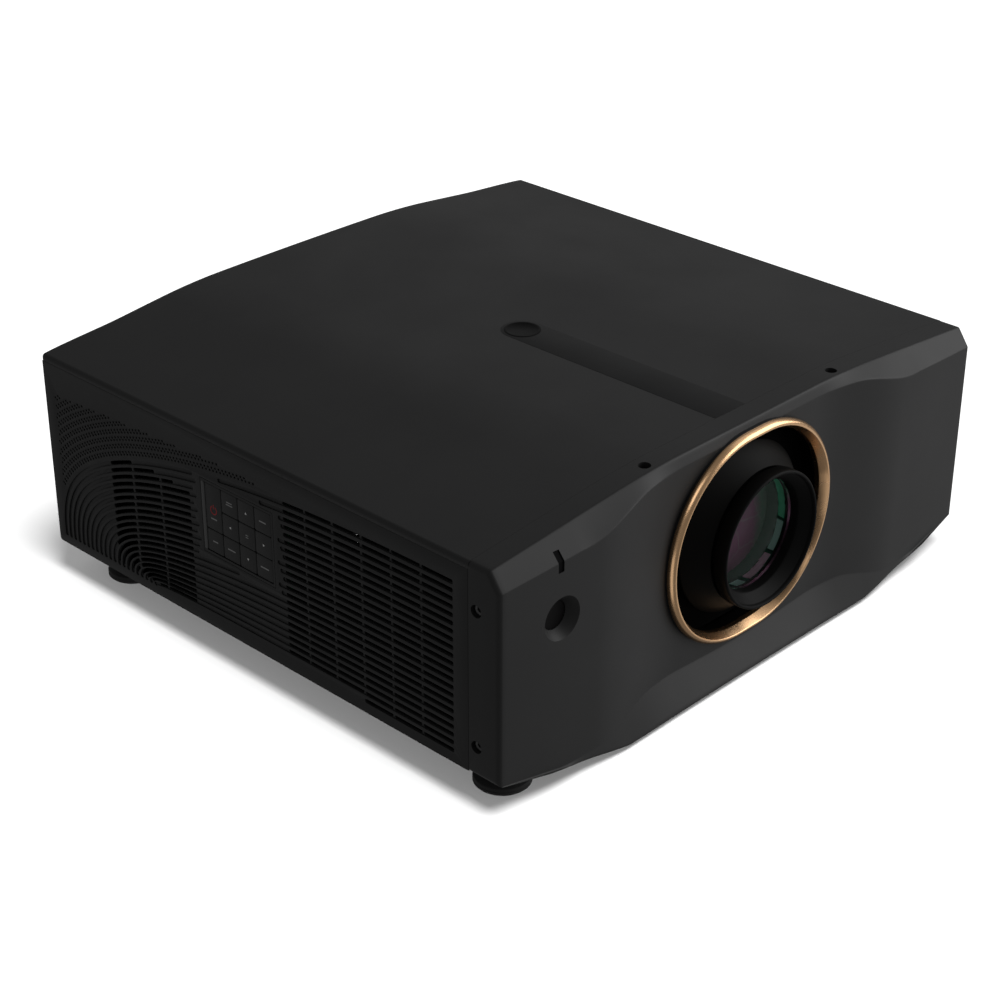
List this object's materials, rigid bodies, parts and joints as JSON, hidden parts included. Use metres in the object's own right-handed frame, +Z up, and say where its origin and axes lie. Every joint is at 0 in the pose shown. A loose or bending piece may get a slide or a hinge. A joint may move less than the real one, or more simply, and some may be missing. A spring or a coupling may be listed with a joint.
{
  "type": "projector",
  "caption": "Wide charcoal projector with a crowned top, a central shifting zoom lens in a champagne ring, a side keypad, curved side grilles and screw feet.",
  "frame": {"origin": "on the table, under the middle of the box around the whole projector", "axes": "+Z up; -Y out of the lens towards the screen; +X to the right of someone who faces the lens with the projector standing on a table"},
  "size_m": [0.484, 0.464, 0.187],
  "materials": {
    "casing": "fine moulded texture, charcoal",
    "keycap": "fine moulded texture, charcoal",
    "strip": "semi-gloss, near black",
    "champagne": "satin anodised, copper gold",
    "lens_black": "matt black with satin edges",
    "coated_glass": "multi-layer coating, green and magenta reflections",
    "receiver": "polished dark red, passes infrared",
    "light_pipe": "clear moulding, lightly frosted",
    "screw_steel": "plated steel",
    "foot_rubber": "matt black",
    "pan_steel": "powder coated, black",
    "board": "solder mask, green",
    "ring_alloy": "machined",
    "gear_brass": "machined",
    "motor_can": "drawn steel",
    "bracket_steel": "powder coated, grey",
    "cast_alloy": "sand-blasted casting",
    "fin_alloy": "extruded, natural",
    "phosphor_disc": "coated disc, pale yellow",
    "supply_case": "perforated case, stands for plated steel",
    "fan_plastic": "glass-filled nylon, black",
    "port_metal": "nickel plated shells",
    "socket_plastic": "moulded, black"
  },
  "bodies": {
    "root": {"top_cover": "casing", "front_cover": "casing", "left_panel": "casing", "right_panel": "casing", "rear_panel": "casing", "base_pan": "pan_steel", "lens_trim_ring": "champagne", "lens_shroud": "lens_black", "top_trim_strip": "strip", "top_badge": "strip", "ir_window": "receiver", "status_light": "light_pipe", "casing_screws": "screw_steel", "keypad_frame": "casing", "keypad_board": "board", "shift_bracket": "bracket_steel", "engine_housing": "cast_alloy", "laser_module": "cast_alloy", "laser_heatsink": "fin_alloy", "dmd_heatsink": "fin_alloy", "main_board": "board", "power_supply": "supply_case", "fan_frames": "fan_plastic", "io_ports": "port_metal", "power_inlet": "socket_plastic"},
    "key_power": {"key_power": "keycap"},
    "key_input": {"key_input": "keycap"},
    "key_up": {"key_up": "keycap"},
    "key_menu": {"key_menu": "keycap"},
    "key_left": {"key_left": "keycap"},
    "key_enter": {"key_enter": "keycap"},
    "key_right": {"key_right": "keycap"},
    "key_lens": {"key_lens": "keycap"},
    "key_shutter": {"key_shutter": "keycap"},
    "key_down": {"key_down": "keycap"},
    "key_source": {"key_source": "keycap"},
    "foot_pad_fl": {"foot_pad_fl": "foot_rubber"},
    "foot_screw_fl": {"foot_screw_fl": "screw_steel"},
    "foot_pad_fr": {"foot_pad_fr": "foot_rubber"},
    "foot_screw_fr": {"foot_screw_fr": "screw_steel"},
    "foot_pad_rl": {"foot_pad_rl": "foot_rubber"},
    "foot_screw_rl": {"foot_screw_rl": "screw_steel"},
    "foot_pad_rr": {"foot_pad_rr": "foot_rubber"},
    "foot_screw_rr": {"foot_screw_rr": "screw_steel"},
    "shift_stage": {"shift_stage": "ring_alloy"},
    "lens_body": {"lens_carriage": "ring_alloy", "lens_barrel": "lens_black", "lens_skirt": "lens_black", "lens_motors": "motor_can"},
    "front_cell": {"lens_bezel": "lens_black", "front_lens": "coated_glass"},
    "zoom_group": {"inner_lenses": "coated_glass"},
    "focus_ring": {"focus_ring": "ring_alloy"},
    "zoom_ring": {"zoom_ring": "ring_alloy"},
    "focus_pinion": {"focus_pinion": "gear_brass"},
    "zoom_pinion": {"zoom_pinion": "gear_brass"},
    "phosphor_wheel": {"phosphor_wheel": "phosphor_disc"},
    "intake_fan_rotor": {"intake_fan_rotor": "fan_plastic"},
    "exhaust_fan_rotor": {"exhaust_fan_rotor": "fan_plastic"},
    "mains_switch": {"mains_switch": "socket_plastic"}
  },
  "joints": [
    {"name": "key_power_press", "type": "slide", "parent": "root", "child": "key_power", "axis": [1, 0, 0], "range_m": [0, 0.0007], "stiffness_N_per_m": 300},
    {"name": "key_input_press", "type": "slide", "parent": "root", "child": "key_input", "axis": [1, 0, 0], "range_m": [0, 0.0007], "stiffness_N_per_m": 300},
    {"name": "key_up_press", "type": "slide", "parent": "root", "child": "key_up", "axis": [1, 0, 0], "range_m": [0, 0.0007], "stiffness_N_per_m": 300},
    {"name": "key_menu_press", "type": "slide", "parent": "root", "child": "key_menu", "axis": [1, 0, 0], "range_m": [0, 0.0007], "stiffness_N_per_m": 300},
    {"name": "key_left_press", "type": "slide", "parent": "root", "child": "key_left", "axis": [1, 0, 0], "range_m": [0, 0.0007], "stiffness_N_per_m": 300},
    {"name": "key_enter_press", "type": "slide", "parent": "root", "child": "key_enter", "axis": [1, 0, 0], "range_m": [0, 0.0007], "stiffness_N_per_m": 300},
    {"name": "key_right_press", "type": "slide", "parent": "root", "child": "key_right", "axis": [1, 0, 0], "range_m": [0, 0.0007], "stiffness_N_per_m": 300},
    {"name": "key_lens_press", "type": "slide", "parent": "root", "child": "key_lens", "axis": [1, 0, 0], "range_m": [0, 0.0007], "stiffness_N_per_m": 300},
    {"name": "key_shutter_press", "type": "slide", "parent": "root", "child": "key_shutter", "axis": [1, 0, 0], "range_m": [0, 0.0007], "stiffness_N_per_m": 300},
    {"name": "key_down_press", "type": "slide", "parent": "root", "child": "key_down", "axis": [1, 0, 0], "range_m": [0, 0.0007], "stiffness_N_per_m": 300},
    {"name": "key_source_press", "type": "slide", "parent": "root", "child": "key_source", "axis": [1, 0, 0], "range_m": [0, 0.0007], "stiffness_N_per_m": 300},
    {"name": "foot_fl_height", "type": "slide", "parent": "root", "child": "foot_pad_fl", "axis": [0, 0, -1], "range_m": [0, 0.012]},
    {"name": "foot_fl_turn", "type": "hinge", "parent": "foot_pad_fl", "child": "foot_screw_fl", "pos_m": [-0.206, -0.186, 0.02], "axis": [0, 0, -1], "range_deg": [0, 2165]},
    {"name": "foot_fr_height", "type": "slide", "parent": "root", "child": "foot_pad_fr", "axis": [0, 0, -1], "range_m": [0, 0.012]},
    {"name": "foot_fr_turn", "type": "hinge", "parent": "foot_pad_fr", "child": "foot_screw_fr", "pos_m": [0.206, -0.186, 0.02], "axis": [0, 0, -1], "range_deg": [0, 2165]},
    {"name": "foot_rl_height", "type": "slide", "parent": "root", "child": "foot_pad_rl", "axis": [0, 0, -1], "range_m": [0, 0.012]},
    {"name": "foot_rl_turn", "type": "hinge", "parent": "foot_pad_rl", "child": "foot_screw_rl", "pos_m": [-0.206, 0.186, 0.02], "axis": [0, 0, -1], "range_deg": [0, 2165]},
    {"name": "foot_rr_height", "type": "slide", "parent": "root", "child": "foot_pad_rr", "axis": [0, 0, -1], "range_m": [0, 0.012]},
    {"name": "foot_rr_turn", "type": "hinge", "parent": "foot_pad_rr", "child": "foot_screw_rr", "pos_m": [0.206, 0.186, 0.02], "axis": [0, 0, -1], "range_deg": [0, 2165]},
    {"name": "lens_shift_x", "type": "slide", "parent": "root", "child": "shift_stage", "axis": [1, 0, 0], "range_m": [-0.006, 0.006]},
    {"name": "lens_shift_z", "type": "slide", "parent": "shift_stage", "child": "lens_body", "axis": [0, 0, 1], "range_m": [-0.005, 0.005]},
    {"name": "focus_turn", "type": "hinge", "parent": "lens_body", "child": "focus_ring", "pos_m": [0, -0.184, 0.1065], "axis": [0, 1, 0], "range_deg": [-60, 60]},
    {"name": "focus_pinion_spin", "type": "hinge", "parent": "lens_body", "child": "focus_pinion", "pos_m": [0.04688, -0.184, 0.15338], "axis": [0, 1, 0], "range_deg": [-275, 275]},
    {"name": "front_cell_focus", "type": "slide", "parent": "lens_body", "child": "front_cell", "axis": [0, 1, 0], "range_m": [-0.002, 0.002]},
    {"name": "zoom_turn", "type": "hinge", "parent": "lens_body", "child": "zoom_ring", "pos_m": [0, -0.152, 0.1065], "axis": [0, 1, 0], "range_deg": [-45, 45]},
    {"name": "zoom_pinion_spin", "type": "hinge", "parent": "lens_body", "child": "zoom_pinion", "pos_m": [-0.04688, -0.152, 0.15338], "axis": [0, 1, 0], "range_deg": [-205, 205]},
    {"name": "zoom_group_slide", "type": "slide", "parent": "lens_body", "child": "zoom_group", "axis": [0, 1, 0], "range_m": [-0.005, 0.005]},
    {"name": "phosphor_spin", "type": "hinge", "parent": "root", "child": "phosphor_wheel", "pos_m": [-0.08, 0.087, 0.1], "axis": [0, 1, 0], "continuous": true},
    {"name": "intake_fan_spin", "type": "hinge", "parent": "root", "child": "intake_fan_rotor", "pos_m": [-0.226, -0.102, 0.098], "axis": [1, 0, 0], "continuous": true},
    {"name": "exhaust_fan_spin", "type": "hinge", "parent": "root", "child": "exhaust_fan_rotor", "pos_m": [0.226, -0.102, 0.098], "axis": [1, 0, 0], "continuous": true},
    {"name": "mains_rocker", "type": "hinge", "parent": "root", "child": "mains_switch", "pos_m": [-0.142, 0.22025, 0.062], "axis": [1, 0, 0], "range_deg": [-14, 0]}
  ],
  "couplings": [
    {"joint": "foot_fl_turn", "follows": "foot_fl_height", "rad_per_m": 3141.6},
    {"joint": "foot_fr_turn", "follows": "foot_fr_height", "rad_per_m": 3141.6},
    {"joint": "foot_rl_turn", "follows": "foot_rl_height", "rad_per_m": 3141.6},
    {"joint": "foot_rr_turn", "follows": "foot_rr_height", "rad_per_m": 3141.6},
    {"joint": "focus_pinion_spin", "follows": "focus_turn", "ratio": -4.5},
    {"joint": "front_cell_focus", "follows": "focus_turn", "m_per_rad": 0.0019},
    {"joint": "zoom_pinion_spin", "follows": "zoom_turn", "ratio": -4.5},
    {"joint": "zoom_group_slide", "follows": "zoom_turn", "m_per_rad": 0.0063}
  ]
}
